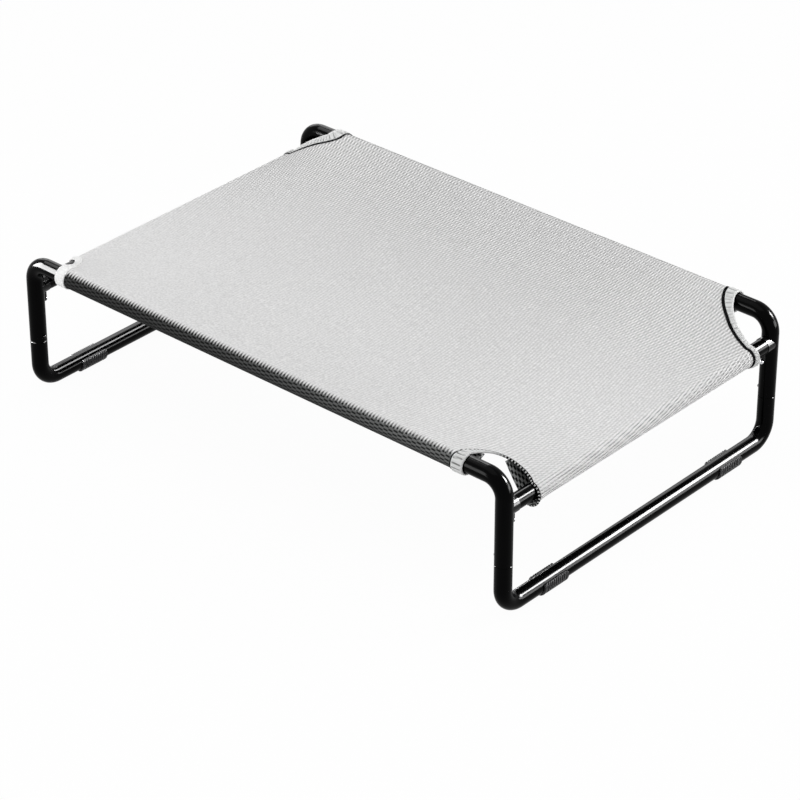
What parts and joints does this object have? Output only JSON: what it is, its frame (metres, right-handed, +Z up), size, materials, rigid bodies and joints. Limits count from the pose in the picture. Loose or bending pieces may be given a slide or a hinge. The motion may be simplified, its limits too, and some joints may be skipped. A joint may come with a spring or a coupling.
{
  "type": "raised dog cot",
  "caption": "Raised dog bed: a grey mesh sling on bent black tube rails and lower cross tubes, with plug-in leg frames, snap buttons and ribbed feet.",
  "frame": {"origin": "on the floor, under the middle of the cot", "axes": "+X along the cot, towards its right end; +Y across it, away from the front rail; +Z up"},
  "size_m": [0.9184, 0.612, 0.2298],
  "materials": {
    "frame_black": "gloss powder coat",
    "black_plastic": "gloss",
    "zinc": "bright zinc plate",
    "button_black": "satin black",
    "spring_steel": "plain spring steel",
    "foot_rubber": "matt ribbed",
    "mesh_cloth": "coated mesh weave",
    "binding_tape": "woven tape"
  },
  "bodies": {
    "root": {"side_rail_front": "frame_black", "side_rail_back": "frame_black", "leg_frame_left": "frame_black", "leg_frame_right": "frame_black", "cross_tube_left": "frame_black", "cross_tube_right": "frame_black", "joint_block_front_left": "black_plastic", "joint_block_front_right": "black_plastic", "joint_block_back_left": "black_plastic", "joint_block_back_right": "black_plastic", "block_screw_front_left": "zinc", "block_screw_front_right": "zinc", "block_screw_back_left": "zinc", "block_screw_back_right": "zinc", "button_spring_front_left": "spring_steel", "button_spring_front_right": "spring_steel", "button_spring_back_left": "spring_steel", "button_spring_back_right": "spring_steel", "foot_front_left": "foot_rubber", "foot_front_right": "foot_rubber", "foot_back_left": "foot_rubber", "foot_back_right": "foot_rubber", "mesh_sling": "mesh_cloth", "edge_tape_front_left": "binding_tape", "edge_tape_front_right": "binding_tape", "edge_tape_back_left": "binding_tape", "edge_tape_back_right": "binding_tape"},
    "button_front_left": {"snap_button_front_left": "button_black"},
    "button_front_right": {"snap_button_front_right": "button_black"},
    "button_back_left": {"snap_button_back_left": "button_black"},
    "button_back_right": {"snap_button_back_right": "button_black"}
  },
  "joints": [
    {"name": "button_press_front_left", "type": "slide", "parent": "root", "child": "button_front_left", "axis": [-1, 0, 0], "range_m": [0, 0.0048], "stiffness_N_per_m": 1200, "springref_m": -0.003, "deforming": ["button_spring_front_left"]},
    {"name": "button_press_front_right", "type": "slide", "parent": "root", "child": "button_front_right", "axis": [1, 0, 0], "range_m": [0, 0.0048], "stiffness_N_per_m": 1200, "springref_m": -0.003, "deforming": ["button_spring_front_right"]},
    {"name": "button_press_back_left", "type": "slide", "parent": "root", "child": "button_back_left", "axis": [-1, 0, 0], "range_m": [0, 0.0048], "stiffness_N_per_m": 1200, "springref_m": -0.003, "deforming": ["button_spring_back_left"]},
    {"name": "button_press_back_right", "type": "slide", "parent": "root", "child": "button_back_right", "axis": [1, 0, 0], "range_m": [0, 0.0048], "stiffness_N_per_m": 1200, "springref_m": -0.003, "deforming": ["button_spring_back_right"]}
  ]
}
